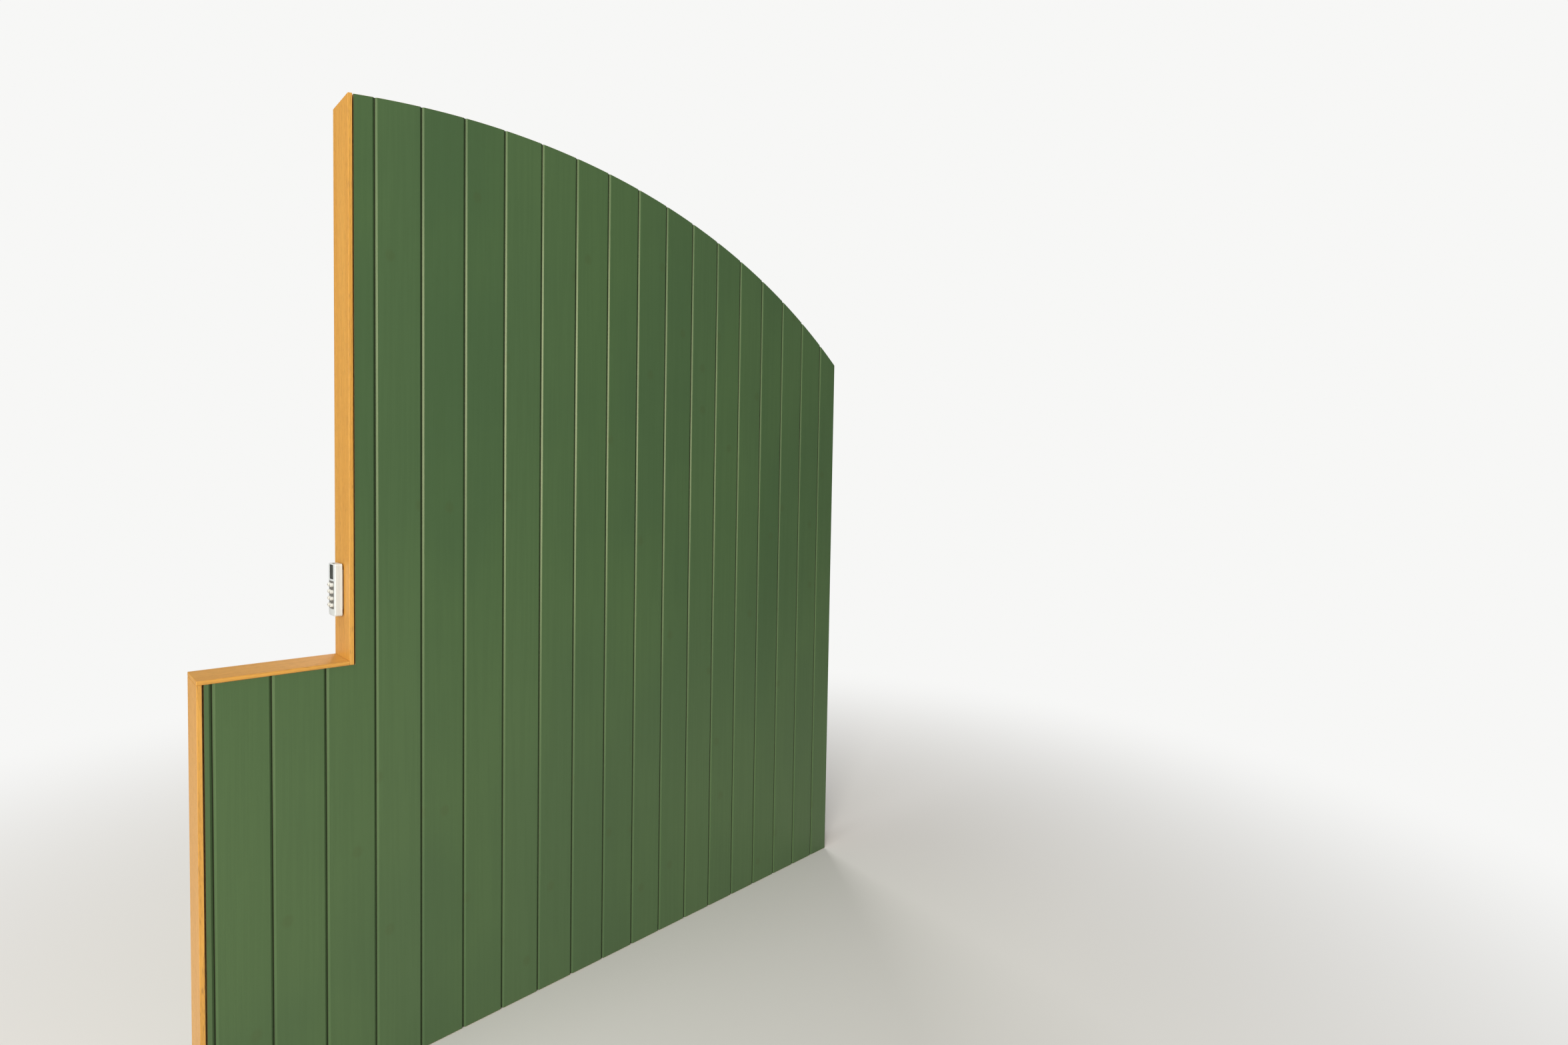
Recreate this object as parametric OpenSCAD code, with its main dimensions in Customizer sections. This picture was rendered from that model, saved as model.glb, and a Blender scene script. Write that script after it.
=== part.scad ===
// Boarded partition wall with a barrel-curved top and a stepped end.
// Tongued and grooved boards with V joints cover a stud frame on both faces, with their tops cut to the curve.
// The free end steps down from a full-height jamb to a low wall with a ledge, and the step is lined in oak.
// The wall runs from its fixed end along -X. -Y is the bedroom face, +Y the living room face.
// The origin is on the fixed end, at the wall's foot, in the middle of its thickness.

/* [Barrel curve] */
// Radius of the barrel curve that the wall's top is cut to
ceiling_r = 2213; // [1900:1:2800]
// Middle of the curve, out from the wall's fixed end
ceiling_out = 1352; // [1250:1:1450]
// Height of the middle of the curve above the wall's foot
ceiling_rise = 315; // [150:1:450]

/* [Wall] */
// Length from the fixed end to the outer face of the low end
wall_length = 2136.7; // [2000:0.1:2400]
// Length of the ledge, from the outer face of the tall jamb to the outer face of the low end
ledge_length = 302.4; // [240:0.1:400]
// Height of the ledge's top above the wall's foot
ledge_height = 1086.6; // [900:0.1:1200]

/* [Boards] */
// Width that one board covers, from joint to joint
board_cover = 112; // [90:1:140]
// Width left of the first board, which is ripped down at the fixed end
first_cover = 92.75; // [60:0.25:130]
// Thickness of a board
board_t = 12; // [11:0.5:18]
// Width of the chamfer on each side of a V joint
vee_w = 5; // [3:0.5:6]
// Depth of the V joint
vee_d = 4; // [2:0.1:4.2]
// Length of a tongue
tongue_l = 6; // [4:0.5:7]
// Thickness of a tongue
tongue_t = 3.6; // [3:0.1:5]
// Wood left between the bottom of the V and the groove for the tongue
lip_left = 0.6; // [0.4:0.1:1.5]
// Open gap between two boards at the bottom of the V
board_gap = 0.8; // [0.4:0.1:1.5]
// Slack round a tongue in its groove
tongue_slack = 0.25; // [0.2:0.05:0.5]
// Gap left where boards are scribed, at the fixed end, along the curve and at the foot
scribe_gap = 1.5; // [0.5:0.1:3]
// Shadow gap between the boards and the upright oak lining
lining_gap = 3.5; // [1:0.1:6]
// Gap between the tops of the low boards and the oak ledge
ledge_gap = 1; // [0.5:0.1:4]
// Narrowest strip that is worth ripping for the last board
narrowest_rip = 12; // [11:1:30]

/* [Frame] */
// Thickness of the frame timbers
timber_t = 38; // [32:1:50]
// Depth of the frame timbers across the wall
timber_d = 89; // [60:1:120]
// Distance between the middles of the studs
stud_spacing = 400; // [300:10:600]
// Depth of the curved head rail
head_d = 60; // [40:1:90]
// Height of the first row of noggins
noggin_height = 520; // [400:10:600]
// Distance between the rows of noggins
noggin_spacing = 500; // [400:10:600]
// Gap above timbers that are cut to the curve
curve_gap = 0.3; // [0.2:0.1:0.6]

/* [Oak lining] */
// Thickness of the lining
lining_t = 10; // [8:0.5:20]
// How far the lining stands proud of the boards
lining_proud = 4; // [2:0.5:12]
// Radius of the lining's eased edges
lining_arris = 1.2; // [0.5:0.1:2]

/* [Handset] */
// Height of the handset
handset_h = 132; // [100:1:180]
// Width of the handset
handset_w = 54; // [40:1:64]
// Thickness of the handset at the middle of its face
handset_t = 18; // [14:0.5:26]
// Radius of the corners of its outline
handset_corner = 6; // [3:0.5:10]
// Radius of the rounding round the edge of its face
handset_rim = 2.5; // [1:0.5:2.5]
// Radius of the crown across its face
handset_crown_r = 300; // [150:5:600]
// Height of its lower end above the ledge
handset_lift = 107.4; // [60:0.1:400]
// Distance of its middle from the middle of the wall, towards the living room face
handset_y = 9; // [-20:1:20]
// Width of the display
display_w = 29; // [20:1:36]
// Height of the display
display_h = 36; // [20:1:44]
// Distance of the display from the handset's upper end
display_drop = 3; // [3:0.5:12]
// Width of the keypad
keypad_w = 38; // [36:1:40]
// Distance between the display and the keypad
keypad_drop = 5; // [3:0.5:12]
// Distance of the keypad from the handset's lower end
keypad_lift = 18; // [8:1:24]
// Depth of the pockets for display and keypad
pocket_d = 2; // [1:0.5:4]
// Clearance round the display and the keypad
pocket_gap = 0.2; // [0.1:0.05:0.4]
// Radius of a key at its foot
key_r = 5; // [3:0.5:6]
// How much smaller that radius is at its top
key_draft = 0.4; // [0:0.1:1]
// How far the keys stand out of the keypad
key_proud = 5; // [0.5:0.5:8]
// Distance between the middles of the two columns of keys
key_column = 21; // [14:0.5:24]
// Distance between the middles of two rows of keys
key_row = 17; // [13:0.5:24]
// Thickness of the holder's back plate
holder_t = 4; // [2:0.5:6]
// Width of the holder
holder_w = 38; // [20:1:50]
// Height of the holder
holder_h = 100; // [60:1:110]
// Distance of the holder's lower end above the handset's
holder_lift = 16; // [10:1:20]

/* [Hidden] */
paint = "#46583f";
pine = "#d8bd8c";
oak = "#cf9a56";
white_plastic = "#e9e6df";
display_grey = "#3a3a36";
key_white = "#dad7cd";

tall_length = wall_length - ledge_length;
handset_z = ledge_height + handset_lift;
wall_t = timber_d + 2 * board_t;
lining_w = wall_t + 2 * lining_proud;
jamb_back = tall_length - lining_t;
end_back = wall_length - lining_t;
ledge_under = ledge_height - lining_t;
low_rail_under = ledge_under - timber_t;

// The lip in front of the tongue
lip_t = vee_d + lip_left;

// Joints lie a board's cover apart, and the last one leaves a strip worth ripping
boards_end = end_back - lining_gap;
joint_count = 1 + floor((boards_end - narrowest_rip - first_cover) / board_cover);
board_count = joint_count + 1;
function joint_at(i) = first_cover + (i - 1) * board_cover;

tall_studs = [for (d = stud_spacing; d < jamb_back - 2 * timber_t; d = d + stud_spacing) d];
noggin_rows = [for (z = noggin_height; z < ceiling_rise + ceiling_r - 3 * head_d; z = z + noggin_spacing) z];

function two_digits(i) = str(i < 10 ? "0" : "", i);
function bedroom_name(i) = str("bedroom_board_", two_digits(i));
BEDROOM = [for (i = [1 : board_count]) bedroom_name(i)];
LIVING = ["living_boards_tall", "living_board_notched", "living_boards_low"];
FRAME = ["sole_plate", "wall_post", "jamb_post", "end_post", "studs", "noggins", "low_rail", "head_rail"];
LINING = ["jamb_lining", "ledge_lining", "end_lining"];
HANDSET = ["handset_holder", "handset_body", "handset_display", "handset_keypad"];

// A block from d0 to d1 out from the fixed end, y0 to y1 across the wall and z0 to z1 above its foot
module block(d0, d1, y0, y1, z0, z1) {
    translate([-d1, y0, z0]) cube([d1 - d0, y1 - y0, z1 - z0]);
}

// A block as deep as the frame timbers
module timber(d0, d1, z0, z1) {
    block(d0, d1, -timber_d / 2, timber_d / 2, z0, z1);
}

// Everything that lies closer to the middle of the barrel curve than its radius less the inset
module under_ceiling(inset) {
    translate([-ceiling_out, 0, ceiling_rise])
        rotate([90, 0, 0])
            cylinder(r = ceiling_r - inset, h = 2 * wall_t, center = true, $fn = 360);
}

// A rectangle with round corners, centred
module round_rect(w, h, r) {
    square([w - 2 * r, h], center = true);
    square([w, h - 2 * r], center = true);
    for (x = [-1, 1], y = [-1, 1])
        translate([x * (w / 2 - r), y * (h / 2 - r)]) circle(r = r, $fn = 32);
}

// The section of a board, with the distance from the fixed end along the first axis and the depth from its
// face along the second. A joint end has half a V, and a groove towards the fixed end or a tongue away from
// it. A cut end is square.
function groove_end(d) = [
    [d + board_gap / 2 + vee_w, 0],
    [d + board_gap / 2, vee_d],
    [d + board_gap / 2, lip_t],
    [d + board_gap / 2 + tongue_l, lip_t],
    [d + board_gap / 2 + tongue_l, lip_t + tongue_t],
    [d + board_gap / 2, lip_t + tongue_t],
    [d + board_gap / 2, board_t]
];
function tongue_end(d) = [
    [d - board_gap / 2, board_t],
    [d - board_gap / 2, lip_t + tongue_t - tongue_slack],
    [d - board_gap / 2 + tongue_l - tongue_slack, lip_t + tongue_t - tongue_slack],
    [d - board_gap / 2 + tongue_l - tongue_slack, lip_t + tongue_slack],
    [d - board_gap / 2, lip_t + tongue_slack],
    [d - board_gap / 2, vee_d],
    [d - board_gap / 2 - vee_w, 0]
];
function board_section(i) = concat(
    i == 1 ? [[scribe_gap, 0], [scribe_gap, board_t]] : groove_end(joint_at(i - 1)),
    i == board_count ? [[boards_end, board_t], [boards_end, 0]] : tongue_end(joint_at(i))
);

// The outline that the boards of one face fill: tall up to the jamb lining, then low under the ledge
module boarded_outline() {
    intersection() {
        block(0, jamb_back - lining_gap, -wall_t, wall_t, scribe_gap, ceiling_rise + ceiling_r);
        under_ceiling(scribe_gap);
    }
    block(0, boards_end, -wall_t, wall_t, scribe_gap, ledge_under - ledge_gap);
}

// One board on the bedroom face, cut to the outline
module board(i) {
    intersection() {
        translate([0, -wall_t / 2, 0])
            linear_extrude(height = ceiling_rise + ceiling_r)
                polygon([for (p = board_section(i)) [-p[0], p[1]]]);
        boarded_outline();
    }
}

// Boards stand tall up to the jamb, one is notched round the step, and the rest are low
function is_tall(i) = i < board_count && joint_at(i) <= jamb_back - lining_gap;
function is_low(i) = i > 1 && joint_at(i - 1) >= jamb_back - lining_gap - vee_w;

module bedroom_board(i) {
    color(paint) board(i);
}

module living_boards_tall() {
    color(paint) mirror([0, 1, 0])
        for (i = [1 : board_count]) if (is_tall(i)) board(i);
}

module living_board_notched() {
    color(paint) mirror([0, 1, 0])
        for (i = [1 : board_count]) if (!is_tall(i) && !is_low(i)) board(i);
}

module living_boards_low() {
    color(paint) mirror([0, 1, 0])
        for (i = [1 : board_count]) if (!is_tall(i) && is_low(i)) board(i);
}

// The post at the fixed end reaches down to the foot, with its top cut to the underside of the head rail
module wall_post() {
    color(pine) intersection() {
        timber(0, timber_t, 0, ceiling_rise + ceiling_r);
        under_ceiling(head_d + curve_gap);
    }
}

module sole_plate() {
    color(pine) timber(timber_t, end_back, 0, timber_t);
}

// A timber that stands on the sole plate and reaches the head rail
module tall_timber(d0) {
    intersection() {
        timber(d0, d0 + timber_t, timber_t, ceiling_rise + ceiling_r);
        under_ceiling(head_d + curve_gap);
    }
}

module jamb_post() {
    color(pine) tall_timber(jamb_back - timber_t);
}

module studs() {
    color(pine) for (d = tall_studs) tall_timber(d - timber_t / 2);
}

module end_post() {
    color(pine) timber(end_back - timber_t, end_back, timber_t, low_rail_under);
}

module low_rail() {
    color(pine) timber(jamb_back, end_back, low_rail_under, ledge_under);
}

// The head rail is sawn to the barrel curve
module head_rail() {
    color(pine) difference() {
        intersection() {
            timber(0, jamb_back, ledge_height, ceiling_rise + ceiling_r);
            under_ceiling(0);
        }
        under_ceiling(head_d);
    }
}

// Rows of noggins between the timbers, wherever a whole one fits under the head rail
bay_starts = concat([timber_t], [for (d = tall_studs) d + timber_t / 2]);
bay_ends = concat([for (d = tall_studs) d - timber_t / 2], [jamb_back - timber_t]);
function head_under(d) = ceiling_rise + sqrt(pow(ceiling_r - head_d, 2) - pow(d - ceiling_out, 2));
module noggins() {
    color(pine) {
        for (z = noggin_rows, bay = [0 : len(bay_starts) - 1])
            if (z + timber_t < min(head_under(bay_starts[bay]), head_under(bay_ends[bay])))
                timber(bay_starts[bay], bay_ends[bay], z, z + timber_t);
        if (noggin_height + timber_t < low_rail_under)
            timber(jamb_back, end_back - timber_t, noggin_height, noggin_height + timber_t);
    }
}

// The section of a lining, with eased edges, along X by its thickness and along Y by its width
module lining_section() {
    round_rect(lining_t, lining_w, lining_arris);
}

module jamb_lining() {
    color(oak) intersection() {
        translate([-jamb_back - lining_t / 2, 0, ledge_under])
            linear_extrude(height = ceiling_rise + ceiling_r - ledge_under) lining_section();
        under_ceiling(scribe_gap);
    }
}

module end_lining() {
    color(oak) translate([-end_back - lining_t / 2, 0, 0])
        linear_extrude(height = ledge_under) lining_section();
}

module ledge_lining() {
    color(oak) translate([-tall_length, 0, ledge_under + lining_t / 2])
        rotate([0, -90, 0])
            linear_extrude(height = wall_length - tall_length) lining_section();
}

// The handset is drawn lying back on the jamb lining: its outline in the plane of the lining, its depth
// along -X
holder_face = tall_length + holder_t;
handset_face = holder_face + handset_t;
display_z = handset_z + handset_h - display_drop - display_h / 2;
keypad_h = handset_h - display_drop - display_h - keypad_drop - keypad_lift;
keypad_z = handset_z + keypad_lift + keypad_h / 2;
key_rows = floor(keypad_h / key_row);
corner_small = 2;

// A plate with round corners, from d0 to d1 out from the fixed end
module upright_plate(d0, d1, y, z, w, h, r) {
    translate([-d0, y, z])
        rotate([0, -90, 0])
            linear_extrude(height = d1 - d0)
                round_rect(h, w, r);
}

// The crown of the handset's face
module crown(inset) {
    translate([-handset_face + handset_crown_r + inset, handset_y, handset_z - 1])
        cylinder(r = handset_crown_r, h = handset_h + 2, $fn = 1440);
}

module handset_holder() {
    color(white_plastic)
        upright_plate(tall_length, holder_face, handset_y, handset_z + holder_lift + holder_h / 2,
            holder_w, holder_h, corner_small);
}

// The handset's form before its face is crowned, rounded round the edge of the face in steps of 15 degrees
module housing() {
    hull()
        for (a = [0 : 15 : 90]) {
            inset = handset_rim * (1 - cos(a));
            upright_plate(holder_face, handset_face - handset_rim * (1 - sin(a)), handset_y,
                handset_z + handset_h / 2, handset_w - 2 * inset, handset_h - 2 * inset,
                handset_corner - inset);
        }
}

module handset_body() {
    color(white_plastic) difference() {
        intersection() {
            housing();
            crown(0);
        }
        upright_plate(handset_face - pocket_d, handset_face + 1, handset_y, display_z,
            display_w + 2 * pocket_gap, display_h + 2 * pocket_gap, corner_small);
        upright_plate(handset_face - pocket_d, handset_face + 1, handset_y, keypad_z,
            keypad_w + 2 * pocket_gap, keypad_h + 2 * pocket_gap, corner_small);
    }
}

module handset_display() {
    color(display_grey) intersection() {
        upright_plate(handset_face - pocket_d, handset_face, handset_y, display_z,
            display_w, display_h, corner_small - pocket_gap);
        crown(pocket_gap);
    }
}

// The keys stand on the keypad in two columns, and taper a little so that they leave their mould
module handset_keypad() {
    color(key_white) {
        intersection() {
            upright_plate(handset_face - pocket_d, handset_face, handset_y, keypad_z,
                keypad_w, keypad_h, corner_small - pocket_gap);
            crown(pocket_gap);
        }
        for (side = [-1, 1], row = [0 : key_rows - 1])
            translate([-handset_face + pocket_d, handset_y + side * key_column / 2,
                    keypad_z + (row - (key_rows - 1) / 2) * key_row])
                rotate([0, -90, 0])
                    cylinder(r1 = key_r, r2 = key_r - key_draft, h = pocket_d + key_proud, $fn = 48);
    }
}

for (i = [1 : board_count]) bedroom_board(i);
living_boards_tall();
living_board_notched();
living_boards_low();
sole_plate();
wall_post();
jamb_post();
end_post();
studs();
noggins();
low_rail();
head_rail();
jamb_lining();
ledge_lining();
end_lining();
handset_holder();
handset_body();
handset_display();
handset_keypad();
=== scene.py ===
import math

import bmesh
import bpy
from mathutils import Matrix, Vector


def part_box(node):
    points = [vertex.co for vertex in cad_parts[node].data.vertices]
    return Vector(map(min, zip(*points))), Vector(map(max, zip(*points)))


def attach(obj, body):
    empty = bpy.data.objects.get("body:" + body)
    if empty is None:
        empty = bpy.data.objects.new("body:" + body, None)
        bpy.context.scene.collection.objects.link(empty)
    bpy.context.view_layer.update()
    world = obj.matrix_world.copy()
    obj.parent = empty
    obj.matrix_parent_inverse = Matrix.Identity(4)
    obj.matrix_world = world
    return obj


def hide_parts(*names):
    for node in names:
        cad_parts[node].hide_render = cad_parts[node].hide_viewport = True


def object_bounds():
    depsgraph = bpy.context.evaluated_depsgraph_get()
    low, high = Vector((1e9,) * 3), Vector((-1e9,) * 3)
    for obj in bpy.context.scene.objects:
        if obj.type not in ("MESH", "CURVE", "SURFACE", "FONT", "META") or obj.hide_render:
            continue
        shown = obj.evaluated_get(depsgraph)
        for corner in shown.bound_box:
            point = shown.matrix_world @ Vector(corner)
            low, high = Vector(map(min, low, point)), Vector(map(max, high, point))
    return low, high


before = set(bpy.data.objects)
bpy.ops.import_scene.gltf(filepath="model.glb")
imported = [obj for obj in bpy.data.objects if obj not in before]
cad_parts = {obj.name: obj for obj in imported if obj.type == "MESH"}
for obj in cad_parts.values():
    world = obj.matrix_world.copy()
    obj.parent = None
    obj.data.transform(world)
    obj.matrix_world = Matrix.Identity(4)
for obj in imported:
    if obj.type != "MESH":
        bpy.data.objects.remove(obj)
solids_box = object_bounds()


# The camera stands at eye height on the wall's bedroom side, near its free end, and looks along the boards
# towards the fixed end. Its place, turn and wide lens were solved from the photograph.
camera = bpy.data.objects.new("camera", bpy.data.cameras.new("camera"))
bpy.context.scene.collection.objects.link(camera)
camera_place = Matrix.Translation((-2.402, -2.1065, 1.52))
camera_turn = Matrix.Rotation(math.radians(-45.86), 4, "Z")
camera_tilt = Matrix.Rotation(math.radians(90 - 2.15), 4, "X")
camera_roll = Matrix.Rotation(math.radians(1.04), 4, "Z")
camera.matrix_world = camera_place @ camera_turn @ camera_tilt @ camera_roll
camera.data.sensor_width = 36
camera.data.lens = 17.06
camera.data.clip_start = 0.05
bpy.context.scene.camera = camera


# The frame is planed softwood, 38 by 89 mm: a sole plate, posts, studs and noggins, and a head rail that
# is band-sawn to the barrel curve. Planed timbers have their arrises rounded at the mill, the sawn rail has
# them just broken with a plane, and all of it is nailed together before the boards go on.
class Wire:
    """A socket of a finish's node tree. Operators add Math nodes, and node() adds one of any other kind."""

    def __init__(self, tree, socket=None):
        self.tree = tree
        self.socket = socket

    def node(self, kind, settings, inputs, output=0):
        made = self.tree.nodes.new("ShaderNode" + kind)
        for name, value in settings.items():
            if name != "stops":
                setattr(made, name, value)
        if "stops" in settings:
            ramp = made.color_ramp
            ramp.elements.remove(ramp.elements[1])
            ramp.elements[0].position, ramp.elements[0].color = settings["stops"][0]
            for position, colour in settings["stops"][1:]:
                ramp.elements.new(position).color = colour
        for name, value in inputs.items():
            if isinstance(value, Wire):
                self.tree.links.new(value.socket, made.inputs[name])
            else:
                made.inputs[name].default_value = value
        return Wire(self.tree, made.outputs[output])

    def out(self, name):
        return Wire(self.tree, self.socket.node.outputs[name])

    def to(self, socket):
        self.tree.links.new(self.socket, socket)

    def math(self, operation, *others):
        return self.node("Math", {"operation": operation}, dict(enumerate((self, *others))))

    def __add__(self, other):
        return self.math("ADD", other)

    def __sub__(self, other):
        return self.math("SUBTRACT", other)

    def __rsub__(self, other):
        return self.node("Math", {"operation": "SUBTRACT"}, {0: other, 1: self})

    def __mul__(self, other):
        return self.math("MULTIPLY", other)

    def __truediv__(self, other):
        return self.math("DIVIDE", other)

    def __rtruediv__(self, other):
        return self.node("Math", {"operation": "DIVIDE"}, {0: other, 1: self})

    __radd__ = __add__
    __rmul__ = __mul__

    def fade(self, start, end):
        """1 at start, 0 at end, and smooth between. It stays 1 before start and 0 past end."""
        limits = {0: self, 1: start, 2: end, 3: 1.0, 4: 0.0}
        return self.node("MapRange", {"interpolation_type": "SMOOTHSTEP"}, limits)

    def scaled(self, x, y, z):
        return self.node("VectorMath", {"operation": "MULTIPLY"}, {0: self, 1: (x, y, z)})

    def noise(self, scale, detail=2.0, roughness=0.5):
        settings = {"noise_dimensions": "3D"}
        inputs = {"Vector": self, "Scale": scale, "Detail": detail, "Roughness": roughness}
        return self.node("TexNoise", settings, inputs)

    def between(self, first, second):
        """The first colour where this is 0, and the second where it is 1."""
        return self.node("Mix", {"data_type": "RGBA"}, {0: self, 6: first, 7: second}, 2)

    def tint(self, factor, colour):
        """This colour, turned towards another by a factor from 0 to 1."""
        return factor.between(self, colour)

    def relief(self, surface):
        """Raises a finish by this height in millimetres."""
        bump = self.node("Bump", {}, {"Strength": 1.0, "Distance": 0.001, "Height": self})
        bump.to(surface["Normal"])


def new_finish(name):
    material = bpy.data.materials.new(name)
    material.use_nodes = True
    return material, material.node_tree.nodes["Principled BSDF"].inputs, Wire(material.node_tree)


def rings(along, pith_x, pith_y, ring_width, lean):
    """How far each point lies through its growth ring, from 0 to 1, with the grain running along Z."""
    parts = along.node("SeparateXYZ", {}, {0: along})
    sway = along.scaled(1, 1, 0.35).noise(2.2, 1.0) - 0.5
    ripple = along.scaled(1, 1, 0.12).noise(16.0, 2.0) - 0.5
    side = parts - pith_x + sway * 0.02
    depth = parts.out("Y") - pith_y + parts.out("Z") * lean + sway * 0.03
    radius = (side * side + depth * depth).math("SQRT") + ripple * 0.004
    return (radius / ring_width).math("FRACT")


def knots(across, along, place, spacing_x, spacing_z):
    """Distance in metres from the middle of the nearest knot, on a face that lies across X and Z."""
    spread = place.node("CombineXYZ", {}, {0: across / spacing_x, 1: along / spacing_z})
    cell = place.node("TexVoronoi", {"voronoi_dimensions": "2D"}, {"Vector": spread, "Scale": 1.0})
    off = place.node("VectorMath", {"operation": "SUBTRACT"}, {0: spread, 1: cell.out("Position")})
    real = off.scaled(spacing_x, spacing_z * 0.75, 0)
    return place.node("VectorMath", {"operation": "LENGTH"}, {0: real}, "Value")


early_pine = (0.64, 0.43, 0.22, 1)
late_pine = (0.38, 0.19, 0.07, 1)
pale_pine = (0.78, 0.6, 0.36, 1)
tanned_pine = (0.5, 0.33, 0.16, 1)
knot_brown = (0.17, 0.07, 0.025, 1)
growth = [(0.0, (0, 0, 0, 1)), (0.55, (0.15, 0.15, 0.15, 1)), (0.93, (1, 1, 1, 1)), (1.0, (0, 0, 0, 1))]


def pine_finish(name, lying, sawn):
    material, surface, start = new_finish(name)
    place = start.node("TexCoord", {}, {}, "Object")
    parts = place.node("SeparateXYZ", {}, {0: place})
    if lying:
        along = place.node("CombineXYZ", {}, {0: parts.out("Y"), 1: parts.out("Z"), 2: parts})
    else:
        along = place.node("CombineXYZ", {}, {0: parts, 1: parts.out("Y"), 2: parts.out("Z")})
    turned = along.node("SeparateXYZ", {}, {0: along})
    knot = knots(turned + turned.out("Y"), turned.out("Z"), along, 0.16, 0.55)
    around_knot = knot.fade(0.0, 0.045)
    pushed = turned + around_knot * 0.012
    swollen = along.node("CombineXYZ", {}, {0: pushed, 1: turned.out("Y"), 2: turned.out("Z")})
    ring = rings(swollen, 0.055, 0.11, 0.0034, 0.006)
    late = ring.node("ValToRGB", {"stops": growth}, {0: ring})
    fibre = along.scaled(420, 420, 9).noise(1.0, 2.0)
    blotch = along.scaled(1, 1, 0.3).noise(5.0, 2.0)
    core = knot.fade(0.008, 0.012)
    colour = (late * 0.75).between(early_pine, late_pine)
    colour = colour.tint(fibre * 0.25, pale_pine)
    colour = colour.tint(blotch * 0.3, tanned_pine)
    colour = colour.tint(core * 0.75, knot_brown)
    colour.to(surface["Base Color"])
    (0.58 + fibre * 0.14 - core * 0.15).to(surface["Roughness"])
    height = late * 0.02 + fibre * 0.03
    if sawn:
        stroke = place.scaled(1, 0.05, 0.25).noise(260.0, 1.0)
        height = height + stroke * 0.25
    height.relief(surface)
    return material


standing_pine = pine_finish("standing_pine", lying=False, sawn=False)
lying_pine = pine_finish("lying_pine", lying=True, sawn=False)
sawn_pine = pine_finish("sawn_pine", lying=True, sawn=True)


def ease(shape, edges, radius, segments):
    bmesh.ops.bevel(shape, geom=edges, offset=radius, offset_type="OFFSET", affect="EDGES",
                    segments=segments, profile=0.5, material=-1, clamp_overlap=True)


def keep_flats_flat(mesh):
    """Shades arrises round without bending the light on the flats beside them. Each corner of a face takes
    the mean direction, by area, of the faces that meet there within an arris's step from it."""
    arris_step = math.radians(31)
    meeting = [[] for corner in mesh.vertices]
    for face in mesh.polygons:
        for corner in face.vertices:
            meeting[corner].append(face)
    directions = []
    for face in mesh.polygons:
        for corner in face.vertices:
            close = [other for other in meeting[corner] if face.normal.angle(other.normal, 0) < arris_step]
            directions.append(sum((other.normal * other.area for other in close), Vector()).normalized())
    mesh.shade_smooth()
    mesh.normals_split_custom_set(directions)


def put_in_place(name, shape, finishes, slot, *nodes):
    mesh = bpy.data.meshes.new(name)
    shape.to_mesh(mesh)
    shape.free()
    for finish in finishes:
        mesh.materials.append(finish)
    keep_flats_flat(mesh)
    piece = bpy.data.objects.new(name, mesh)
    bpy.context.scene.collection.objects.link(piece)
    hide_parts(*nodes)
    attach(piece, "root")
    return piece


same_place = 1e-6
flat_angle = math.radians(0.1)


def merged_solid(node):
    """The node's own shape as clean faces, ready to have its arrises eased."""
    shape = bmesh.new()
    shape.from_mesh(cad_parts[node].data)
    bmesh.ops.remove_doubles(shape, verts=shape.verts, dist=10 * same_place)
    bmesh.ops.dissolve_limit(shape, angle_limit=flat_angle, verts=shape.verts, edges=shape.edges)
    return shape


def sharp_edges(shape):
    return [edge for edge in shape.edges if edge.calc_face_angle(0) > math.radians(40)]


mill_round = 0.0025
broken_arris = 0.0008
for node, finish, arris in [
    ("sole_plate", lying_pine, mill_round),
    ("wall_post", standing_pine, mill_round),
    ("jamb_post", standing_pine, mill_round),
    ("end_post", standing_pine, mill_round),
    ("studs", standing_pine, mill_round),
    ("noggins", lying_pine, mill_round),
    ("low_rail", lying_pine, mill_round),
    ("head_rail", sawn_pine, broken_arris),
]:
    timber = merged_solid(node)
    ease(timber, sharp_edges(timber), arris, 3)
    put_in_place("planed_" + node, timber, [finish], "pine", node)


# The boards are 12 mm softwood with a tongue on one edge, a groove on the other and a V where two meet.
# They are pushed together over the frame, secret nailed through their tongues and scribed to the curve. The
# satin green paint bridges fine grain but not the joints, whose roots carry dust and painted shade. Cut
# ends and backs stay bare.
board_face, board_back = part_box("bedroom_board_02")[0].y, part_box("bedroom_board_02")[1].y
board_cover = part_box("bedroom_board_02")[0].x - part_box("bedroom_board_03")[0].x
board_count = sum(node.startswith("bedroom_board_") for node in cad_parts)
board_gap = 0.0008
board_arris = 0.0006
least_arris_angle = math.radians(9)
vee_width = 0.005
vee_depth = 0.004
tongue_length = 0.006
tongue_thickness = 0.0036
lip_thickness = 0.0046
tongue_slack = 0.00025
scribe_gap = 0.0015
lining_gap = 0.0035
ledge_gap = 0.001
first_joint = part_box("bedroom_board_01")[0].x + tongue_length - tongue_slack - board_gap / 2
curve_middle = Vector((-1.352, 0, 0.315))
curve_radius = 2.213
curve_cuts = 5
tall_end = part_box("jamb_lining")[1].x + lining_gap
low_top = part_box("ledge_lining")[0].z - ledge_gap
boards_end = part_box("end_lining")[1].x + lining_gap


def joint_at(number):
    return first_joint - (number - 1) * board_cover


def under_curve(x, gap):
    reach = curve_radius - gap
    return curve_middle.z + math.sqrt(reach * reach - (x - curve_middle.x) ** 2)


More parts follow.
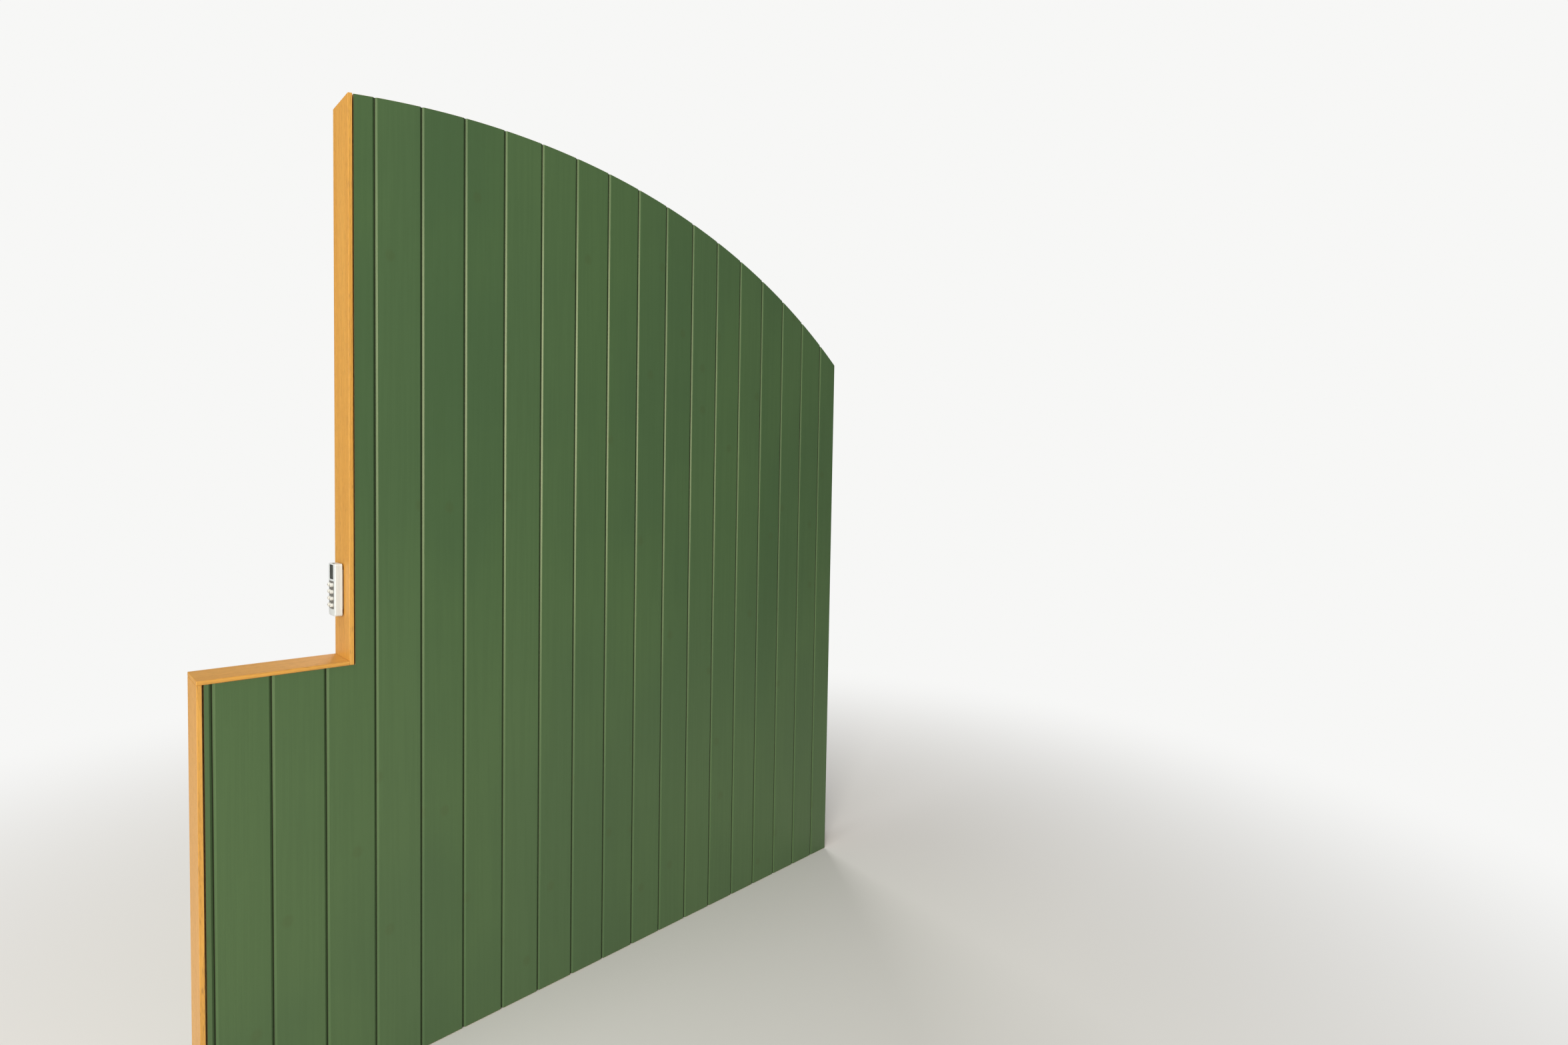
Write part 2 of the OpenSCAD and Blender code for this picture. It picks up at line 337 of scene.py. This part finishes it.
def board_section(number):
    """Corners of a board's section, as places along the wall and depths from its face."""
    thickness = board_back - board_face
    if number == 1:
        groove = [(-scribe_gap, 0), (-scribe_gap, thickness)]
    else:
        edge = joint_at(number - 1) - board_gap / 2
        groove = [
            (edge - vee_width, 0),
            (edge, vee_depth),
            (edge, lip_thickness),
            (edge - tongue_length, lip_thickness),
            (edge - tongue_length, lip_thickness + tongue_thickness),
            (edge, lip_thickness + tongue_thickness),
            (edge, thickness),
        ]
    if number == board_count:
        return groove + [(boards_end, thickness), (boards_end, 0)]
    edge = joint_at(number) + board_gap / 2
    tip = edge - tongue_length + tongue_slack
    tongue_front = lip_thickness + tongue_slack
    tongue_back = lip_thickness + tongue_thickness - tongue_slack
    return groove + [
        (edge, thickness),
        (edge, tongue_back),
        (tip, tongue_back),
        (tip, tongue_front),
        (edge, tongue_front),
        (edge, vee_depth),
        (edge + vee_width, 0),
    ]


def each_once(parts):
    """Each part once, in the order in which they come."""
    return list(dict.fromkeys(parts))


def lift(shape, faces, height_at):
    edges = each_once(edge for face in faces for edge in face.edges)
    raised = bmesh.ops.extrude_face_region(shape, geom=[*faces, *edges])["geom"]
    for corner in raised:
        if isinstance(corner, bmesh.types.BMVert):
            corner.co.z = height_at(corner.co.x)
    return [face for face in raised if isinstance(face, bmesh.types.BMFace)]


def cut_across(shape, faces, place, direction):
    """Adds edges to these faces of a shape, where a plane passes through them."""
    edges = each_once(edge for face in faces for edge in face.edges)
    corners = each_once(corner for face in faces for corner in face.verts)
    bmesh.ops.bisect_plane(shape, geom=[*faces, *edges, *corners], dist=same_place, plane_co=place,
                           plane_no=direction)


def add_board(shape, number, side):
    """One board drawn up from its foot, cut to the curve, to the ledge or round the step between them.
    Side is 1 on the bedroom face and -1 on the living room face."""
    board = bmesh.new()
    section = board_section(number)
    near, far = max(x for x, depth in section), min(x for x, depth in section)
    board.faces.new([board.verts.new((x, side * (board_face + depth), scribe_gap)) for x, depth in section])
    long_edges = [edge for edge in board.edges if edge.calc_length() > board_cover / 2]
    bmesh.ops.subdivide_edges(board, edges=long_edges, cuts=curve_cuts)
    if far > tall_end:
        lift(board, board.faces[:], lambda x: under_curve(x, scribe_gap))
    else:
        top = lift(board, board.faces[:], lambda x: low_top)
        if near > tall_end:
            cut_across(board, top, (tall_end, 0, 0), (1, 0, 0))
            tall_part = [face for face in board.faces if face.calc_center_median().x > tall_end
                         and all(abs(corner.co.z - low_top) < same_place for corner in face.verts)]
            lift(board, tall_part, lambda x: under_curve(x, scribe_gap))
    bmesh.ops.dissolve_limit(board, angle_limit=flat_angle, verts=board.verts, edges=board.edges)
    bmesh.ops.recalc_face_normals(board, faces=board.faces)
    arrises = [edge for edge in board.edges if edge.calc_face_angle(0) > least_arris_angle
               and all(abs(corner.co.y - side * board_face) < same_place for corner in edge.verts)]
    ease(board, arrises, board_arris, 3)
    painted_depth = board_face + lip_thickness + tongue_slack + 10 * same_place
    for face in board.faces:
        in_reach = side * face.calc_center_median().y < painted_depth
        face.material_index = 0 if in_reach and abs(face.normal.z) < 0.5 else 1
    made = bpy.data.meshes.new("board")
    board.to_mesh(made)
    board.free()
    shape.from_mesh(made)
    bpy.data.meshes.remove(made)


satin_green = (0.070, 0.133, 0.053, 1)
deep_green = (0.060, 0.117, 0.050, 1)
pale_green = (0.082, 0.146, 0.063, 1)
thick_green = (0.054, 0.106, 0.043, 1)
knot_green = (0.063, 0.096, 0.036, 1)
dust_and_shade_brown = (0.012, 0.014, 0.007, 1)


def paint_finish():
    """Paint on boards that each have their own grain, knots and shade, told apart by their number."""
    material, surface, start = new_finish("satin_green_paint")
    place = start.node("TexCoord", {}, {}, "Object")
    parts = place.node("SeparateXYZ", {}, {0: place})
    depth = parts.out("Y").math("ABSOLUTE")
    turn = parts.out("Y").math("SIGN")
    share = (first_joint - parts) / board_cover
    number = share.math("FLOOR") + turn * 31.0
    chance = start.node("TexWhiteNoise", {"noise_dimensions": "1D"}, {"W": number}, "Color")
    chances = start.node("SeparateXYZ", {}, {0: chance})
    across = (share.math("FRACT") - 0.5) * board_cover
    along = parts.out("Z") + chances * 9.0 + number * 0.37
    wood = start.node("CombineXYZ", {}, {0: across, 1: depth, 2: along})
    knot = knots(across + number * 0.21, along, wood, 0.13, 0.7)
    around_knot = knot.fade(0.0, 0.05)
    swollen = start.node("CombineXYZ", {}, {0: across + around_knot * 0.014, 1: depth, 2: along})
    ring = rings(swollen, (chances.out("Y") - 0.5) * 0.07, chances.out("Z") * 0.03, 0.0045, 0.012)
    late = ring.fade(0.45, 0.95)
    brushed = wood.scaled(620, 620, 7).noise(1.0, 2.0, 0.6)
    strokes = wood.scaled(150, 150, 3.5).noise(1.0, 1.0)
    stipple = wood.noise(1500.0, 1.0)
    sheen = wood.scaled(1, 1, 0.4).noise(7.0, 3.0)
    cloud = place.scaled(1, 1, 0.6).noise(2.2, 3.0)
    # Near black at the root of each V: dust, and painted shade where the joint lies in shadow.
    sunk = abs(board_face) - depth
    dust_and_shade = sunk.fade(vee_depth - 0.0002, vee_depth - 0.0012)
    colour = cloud.fade(0.65, 0.35).between(satin_green, deep_green)
    colour = colour.tint(chances.out("Y") * 0.4, pale_green)
    colour = colour.tint(strokes.fade(0.62, 0.4) * 0.18, thick_green)
    colour = colour.tint(knot.fade(0.006, 0.016) * 0.3, knot_green)
    colour = colour.tint(dust_and_shade * 0.85, dust_and_shade_brown)
    colour.to(surface["Base Color"])
    (0.26 + sheen * 0.1 + brushed * 0.08 + dust_and_shade * 0.4).to(surface["Roughness"])
    surface["Specular IOR Level"].default_value = 0.45
    # A warm tint on the reflections: a painted warm cast of light in the highlights.
    surface["Specular Tint"].default_value = (1.0, 0.95, 0.66, 1)
    grain_height = late * 0.03 + around_knot * 0.06 + knot.fade(0.007, 0.011) * 0.05
    paint_height = brushed * 0.03 + strokes * 0.065 + stipple * 0.008 + sheen * 0.25
    (grain_height + paint_height).relief(surface)
    return material


green_paint = paint_finish()
living_boards = {
    "living_boards_tall": [],
    "living_board_notched": [],
    "living_boards_low": [],
}
for number in range(1, board_count + 1):
    node = "bedroom_board_%02d" % number
    board_piece = bmesh.new()
    add_board(board_piece, number, 1)
    put_in_place("painted_board_%02d" % number, board_piece, [green_paint, standing_pine], "paint", node)
    low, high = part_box(node)
    group = "living_boards_tall" if low.x > tall_end - tongue_length else "living_board_notched"
    if high.x < tall_end:
        group = "living_boards_low"
    living_boards[group].append(number)
for node, numbers in living_boards.items():
    board_piece = bmesh.new()
    for number in numbers:
        add_board(board_piece, number, -1)
    put_in_place("painted_" + node, board_piece, [green_paint, standing_pine], "paint", node)


# The step is lined with 10 mm oak, 121 mm wide, that stands 4 mm proud of the boards. The ledge sits on the
# end lining and butts against the jamb lining, which is cut to the barrel curve. The arrises are rounded by
# hand, the lining is pinned to the posts with the pin holes filled, and it has a clear satin oil.
pin_spacing = 0.3
pin_inset = 0.042
pin_radius = 0.0009
early_oak = (0.72, 0.355, 0.060, 1)
late_oak = (0.52, 0.225, 0.030, 1)
pale_oak = (0.78, 0.435, 0.095, 1)
dark_oak = (0.52, 0.245, 0.040, 1)
honey_oak = (0.72, 0.37, 0.068, 1)
pore_brown = (0.2, 0.09, 0.03, 1)
filler_brown = (0.40, 0.2, 0.06, 1)


def oak_finish(name, lying):
    material, surface, start = new_finish(name)
    place = start.node("TexCoord", {}, {}, "Object")
    parts = place.node("SeparateXYZ", {}, {0: place})
    if lying:
        pith_x = 1.2
        along = place.node("CombineXYZ", {}, {0: parts.out("Z"), 1: parts.out("Y"), 2: parts})
    else:
        pith_x = -2.1
        along = place.node("CombineXYZ", {}, {0: parts, 1: parts.out("Y"), 2: parts.out("Z")})
    turned = along.node("SeparateXYZ", {}, {0: along})
    late = rings(along, pith_x, 0.21, 0.0036, 0.014).fade(0.75, 0.1)
    fibre = along.scaled(700, 700, 10).noise(1.0, 3.0, 0.6)
    pores = along.scaled(1500, 1500, 45).noise(1.0, 1.0)
    streak = along.scaled(60, 60, 1.2).noise(1.0, 2.0)
    blotch = along.scaled(1, 1, 0.35).noise(6.0, 2.0)
    open_pore = pores.fade(0.34, 0.42) * (0.35 + late * 0.65)
    pin_row = ((turned.out("Z") / pin_spacing).math("FRACT") - 0.5) * pin_spacing
    pin_line = turned.out("Y").math("ABSOLUTE") - pin_inset
    pin = (pin_row * pin_row + pin_line * pin_line).math("SQRT").fade(pin_radius, pin_radius + 0.0003)
    colour = (late * 0.55).between(early_oak, late_oak)
    colour = colour.tint(streak.fade(0.65, 0.35) * 0.45, pale_oak)
    colour = colour.tint(fibre.fade(0.62, 0.42) * 0.3, dark_oak)
    colour = colour.tint(blotch * 0.25, honey_oak)
    colour = colour.tint(open_pore * 0.55, pore_brown)
    colour = colour.tint(pin * 0.7, filler_brown)
    colour.to(surface["Base Color"])
    (0.42 + fibre * 0.12 + open_pore * 0.2).to(surface["Roughness"])
    (late * 0.012 + fibre * 0.02 - open_pore * 0.06 - pin * 0.08).relief(surface)
    surface["Coat Weight"].default_value = 0.08
    surface["Coat Roughness"].default_value = 0.25
    return material


def block(low, high):
    shape = bmesh.new()
    in_its_box = Matrix.Translation((low + high) / 2) @ Matrix.Diagonal((*(high - low), 1))
    bmesh.ops.create_cube(shape, size=1, matrix=in_its_box)
    return shape


standing_oak = oak_finish("standing_oak", lying=False)
lying_oak = oak_finish("lying_oak", lying=True)
hand_round = 0.0012
for node, finish in [
    ("end_lining", standing_oak),
    ("ledge_lining", lying_oak),
    ("jamb_lining", standing_oak),
]:
    low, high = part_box(node)
    lining = block(low, high)
    if node == "jamb_lining":
        for corner in lining.verts:
            if corner.co.z > (low.z + high.z) / 2:
                corner.co.z = under_curve(corner.co.x, scribe_gap)
    ease(lining, lining.edges[:], hand_round, 4)
    put_in_place("oiled_" + node, lining, [finish], "oak", node)


# The handset is a white moulded remote control that hangs on the oak jamb in a flat holder. Two shells meet
# in a seam round its sides, the face is slightly crowned, and display and keypad sit in shallow pockets.
def plastic_finish(name, colour, roughness, grain):
    material, surface, start = new_finish(name)
    place = start.node("TexCoord", {}, {}, "Object")
    fine = place.noise(grain, 2.0)
    smear = place.noise(60.0, 2.0)
    dulled = tuple(share * 0.9 for share in colour[:3]) + (1,)
    (smear * 0.3).between(colour, dulled).to(surface["Base Color"])
    (roughness + smear * 0.08).to(surface["Roughness"])
    (fine * 0.02).relief(surface)
    return material


white_plastic = plastic_finish("white_plastic", (0.66, 0.71, 0.73, 1), 0.34, 2600.0)
dark_window = plastic_finish("dark_window", (0.014, 0.014, 0.014, 1), 0.08, 800.0)
dark_panel = plastic_finish("dark_panel", (0.045, 0.052, 0.045, 1), 0.3, 800.0)
# The keypad rubber is dark grey; part of that darkness is painted shade between the keys.
dark_rubber_and_shade = plastic_finish("dark_rubber_and_shade", (0.16, 0.16, 0.15, 1), 0.6, 2600.0)
key_plastic = plastic_finish("key_plastic", (0.70, 0.70, 0.66, 1), 0.42, 2600.0)
dark_print = plastic_finish("dark_print", (0.07, 0.07, 0.07, 1), 0.5, 2600.0)


nearly = 0.99


def edges_through(shape):
    """The edges that run through the handset from its face to its back."""
    return [edge for edge in shape.edges
            if abs((edge.verts[0].co - edge.verts[1].co).x) > nearly * edge.calc_length()]


def front_faces(shape, low, high):
    """The faces that look to the front and have their middles within the height and width of a box."""
    return [face for face in shape.faces if face.normal.x < -nearly
            and low.y < face.calc_center_median().y < high.y
            and low.z < face.calc_center_median().z < high.z]


crown_radius = 0.3


def crown(shape, low, high, depth, steps):
    """Bends the front of a shape, down to this depth, to the handset's crown."""
    for step in range(1, steps):
        cut_across(shape, shape.faces[:], low.lerp(high, step / steps), (0, 1, 0))
    for corner in shape.verts:
        if corner.co.x < low.x + depth:
            off_middle = corner.co.y - (low.y + high.y) / 2
            corner.co.x += crown_radius - math.sqrt(crown_radius ** 2 - off_middle ** 2)


holder_arris = 0.0004
holder = merged_solid("handset_holder")
ease(holder, sharp_edges(holder), holder_arris, 3)
put_in_place("moulded_holder", holder, [white_plastic], "white_plastic", "handset_holder")

shell_corner = 0.006
shell_rim = 0.0025
shell_arris = 0.0006
seam_share = 0.58
seam_width = 0.0007
seam_depth = 0.0005
seam_slope = 0.0001
pocket_gap = 0.0002
pocket_corner = 0.002
shell_low, shell_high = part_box("handset_body")
shells = block(shell_low, shell_high)
ease(shells, edges_through(shells), shell_corner, 8)
ease(shells, front_faces(shells, shell_low, shell_high)[0].edges[:], shell_rim, 5)
back = max(shells.faces, key=lambda face: face.calc_center_median().x)
ease(shells, back.edges[:], shell_arris, 3)
seam = shell_low.x + seam_share * (shell_high.x - shell_low.x)
for side_of_seam in (-1, 1):
    edge_of_seam = (seam + side_of_seam * seam_width / 2, 0, 0)
    cut_across(shells, shells.faces[:], edge_of_seam, (1, 0, 0))
ring = [face for face in shells.faces if abs(face.calc_center_median().x - seam) < seam_width / 4]
bmesh.ops.inset_region(shells, faces=ring, thickness=seam_slope, depth=-seam_depth, use_even_offset=True)
slack = Vector((0, pocket_gap, pocket_gap))
pockets = []
for node in ("handset_display", "handset_keypad"):
    low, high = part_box(node)
    pockets.append((low - slack, high + slack))
for low, high in pockets:
    for side in (low, high):
        cut_across(shells, front_faces(shells, shell_low, shell_high), side, (0, 1, 0))
    strip_low = Vector((0, low.y, shell_low.z))
    strip_high = Vector((0, high.y, shell_high.z))
    for end in (low, high):
        cut_across(shells, front_faces(shells, strip_low, strip_high), end, (0, 0, 1))
for low, high in pockets:
    mouth = front_faces(shells, low, high)
    rim = each_once(edge for face in mouth for edge in face.edges)
    sunk = bmesh.ops.extrude_face_region(shells, geom=[*mouth, *rim])["geom"]
    deep = [corner for corner in sunk if isinstance(corner, bmesh.types.BMVert)]
    bmesh.ops.translate(shells, verts=deep, vec=(high.x - shell_low.x, 0, 0))
    pocket_corners = [edge for edge in edges_through(shells) if edge.calc_face_angle(0) > math.radians(80)]
    ease(shells, pocket_corners, pocket_corner, 5)
crown(shells, shell_low, shell_high, shell_rim + same_place, 18)
put_in_place("moulded_shells", shells, [white_plastic], "white_plastic", "handset_body")

window_corner = 0.0018
window_arris = 0.0003
window_border = 0.0022
window_step = 0.0002
low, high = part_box("handset_display")
window = block(low, high)
ease(window, edges_through(window), window_corner, 6)
ease(window, front_faces(window, low, high)[0].edges[:], window_arris, 3)
panel = front_faces(window, low, high)
bmesh.ops.inset_region(window, faces=panel, thickness=window_border, depth=0)
bmesh.ops.inset_region(window, faces=panel, thickness=window_step, depth=-window_step)
for face in panel:
    face.material_index = 1
crown(window, low, high, (high.x - low.x) / 2, 12)
sender_radius = 0.0024
sender_stretch = (1, 1.6, 0.4, 1)
sender_place = Vector(((shell_low.x + seam) / 2, (shell_low.y + shell_high.y) / 2, shell_high.z))
sender = Matrix.Translation(sender_place) @ Matrix.Diagonal(sender_stretch)
bmesh.ops.create_uvsphere(window, u_segments=24, v_segments=12, radius=sender_radius, matrix=sender)
put_in_place("moulded_window", window, [dark_window, dark_panel], "display", "handset_display")


def reading_order(key_middle):
    """Sorts the keys by rows from the top, and each row from the left, as height counts far more."""
    row_weight = 100
    return -row_weight * key_middle.z - key_middle.y


key_arris = 0.0005
key_radius = 0.005
key_crown = (0.0003, 0.0002, 0.00013, 0.00007)
key_crown_width = 0.0007
low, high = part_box("handset_keypad")
pad = merged_solid("handset_keypad")
key_rims = [edge for edge in pad.edges if all(corner.co.x < low.x + key_arris / 2 for corner in edge.verts)]
ease(pad, key_rims, key_arris, 3)
key_tops = [face for face in front_faces(pad, low, high)
            if face.calc_center_median().x < low.x + key_arris / 8]
for rise in key_crown:
    bmesh.ops.inset_individual(pad, faces=key_tops, thickness=key_crown_width, depth=rise,
                               use_even_offset=True)
key_middles = sorted((face.calc_center_median() for face in key_tops), key=reading_order)
for face in pad.faces:
    if any((face.calc_center_median() - middle).yz.length < key_radius for middle in key_middles):
        face.material_index = 1
put_in_place("moulded_keypad", pad, [dark_rubber_and_shade, key_plastic], "keypad", "handset_keypad")


# Each key carries a mark in dark ink: from the top a dot and a square, an arrow up and a plus, an arrow
# down and a minus, and a hexagon and a diamond. The ink is a flat layer, a hair proud of the key's crown.
mark_size = 0.0016
ink_depth = 0.0006
ink_proud = 0.00006
towards_wall = Matrix.Rotation(math.radians(90), 4, "Y")
marks = bmesh.new()


def print_mark(middle, sides, turn, stretch):
    """A flat shape with that many sides, turned and stretched, on the crown of a key."""
    place = Matrix.Translation(middle - Vector((ink_proud, 0, 0)))
    shape = towards_wall @ Matrix.Diagonal((*stretch, 1, 1)) @ Matrix.Rotation(math.radians(turn), 4, "Z")
    flat = bmesh.ops.create_circle(marks, cap_ends=True, segments=sides, radius=mark_size,
                                   matrix=place @ shape)
    ink = each_once(face for corner in flat["verts"] for face in corner.link_faces)
    raised = bmesh.ops.extrude_face_region(marks, geom=ink)["geom"]
    deep = [corner for corner in raised if isinstance(corner, bmesh.types.BMVert)]
    bmesh.ops.translate(marks, verts=deep, vec=(ink_depth, 0, 0))


dot = (24, 0, (1.1, 1.1))
square = (4, 45, (1, 1))
arrow_up = (3, 90, (1, 1))
arrow_down = (3, -90, (1, 1))
bar_along = (4, 45, (0.3, 1.3))
bar_up = (4, 45, (1.3, 0.3))
hexagon = (6, 0, (1, 1))
diamond = (4, 0, (1, 1))
for middle, strokes in zip(key_middles, [
    [dot], [square],
    [arrow_up], [bar_along, bar_up],
    [arrow_down], [bar_along],
    [hexagon], [diamond],
]):
    for stroke in strokes:
        print_mark(middle, *stroke)
bmesh.ops.recalc_face_normals(marks, faces=marks.faces)
put_in_place("printed_marks", marks, [dark_print], "keypad")


# The wall stands on a wide pale sheet that fades to the white surroundings and keeps the wall's shadow.
# The sheet belongs to the picture only.
floor_shape = bmesh.new()
bmesh.ops.create_circle(floor_shape, cap_ends=True, radius=30, segments=64)
floor_mesh = bpy.data.meshes.new("floor")
floor_shape.to_mesh(floor_mesh)
floor_shape.free()
floor = bpy.data.objects.new("floor", floor_mesh)
bpy.context.scene.collection.objects.link(floor)
floor_finish, floor_surface, start = new_finish("pale_floor")
floor_surface["Base Color"].default_value = (0.80, 0.79, 0.77, 1)
floor_surface["Roughness"].default_value = 0.8
wall_middle = (solids_box[0].x / 2, 0, 0)
on_floor = start.node("TexCoord", {}, {}, "Object").scaled(1, 1, 0)
far_off = start.node("VectorMath", {"operation": "DISTANCE"}, {0: on_floor, 1: wall_middle}, "Value")
near_by = far_off.fade(1.0, 4.2)
surround_white = (0.93, 0.93, 0.92, 1)
seen = start.node("LightPath", {}, {}, "Is Camera Ray")
glow = start.node("Emission", {}, {"Color": surround_white, "Strength": 1.0})
body = Wire(floor_finish.node_tree, floor_finish.node_tree.nodes["Principled BSDF"].outputs[0])
faded = start.node("MixShader", {}, {0: (1 - near_by) * seen, 1: body, 2: glow})
faded.to(floor_finish.node_tree.nodes["Material Output"].inputs["Surface"])
floor_mesh.materials.append(floor_finish)


# Soft studio light: a tall key beyond the free end catches the joints, and a narrow light beside it those
# at the far end. A fill lights the living room face, and a last one the ledge. The surround is off-white.
def soft_light(name, place, aim, width, height, power, colour):
    lamp = bpy.data.lights.new(name, "AREA")
    lamp.shape = "RECTANGLE"
    lamp.size = width
    lamp.size_y = height
    lamp.energy = power
    lamp.color = colour
    light = bpy.data.objects.new(name, lamp)
    light.location = place
    light.rotation_euler = (Vector(aim) - Vector(place)).to_track_quat("-Z", "Y").to_euler()
    light.visible_camera = False
    bpy.context.scene.collection.objects.link(light)


soft_light("key", (-7.6, -5.2, 2.8), (-1.1, 0, 1.3), 1.8, 4.2, 455, (1.0, 0.97, 0.90))
soft_light("joint_light", (-6.3, -6.5, 2.2), (-0.8, 0, 1.3), 0.6, 3.6, 150, (1.0, 0.95, 0.84))
soft_light("living_fill", (3.0, 7.6, 3.4), (-1.0, 0, 1.1), 4.0, 4.0, 370, (1.0, 0.98, 0.95))
soft_light("overhead", (-3.4, -0.4, 6.6), (-1.6, 0, 0), 4.0, 5.0, 210, (1.0, 0.98, 0.95))
surround = bpy.data.worlds.new("surround")
bpy.context.scene.world = surround
surround.use_nodes = True
sky = surround.node_tree.nodes["Background"].inputs
seen = Wire(surround.node_tree).node("LightPath", {}, {}, "Is Camera Ray")
room_light = 0.16
sky["Color"].default_value = surround_white
(room_light + seen * (1 - room_light)).to(sky["Strength"])
bpy.context.scene.view_settings.view_transform = "Standard"
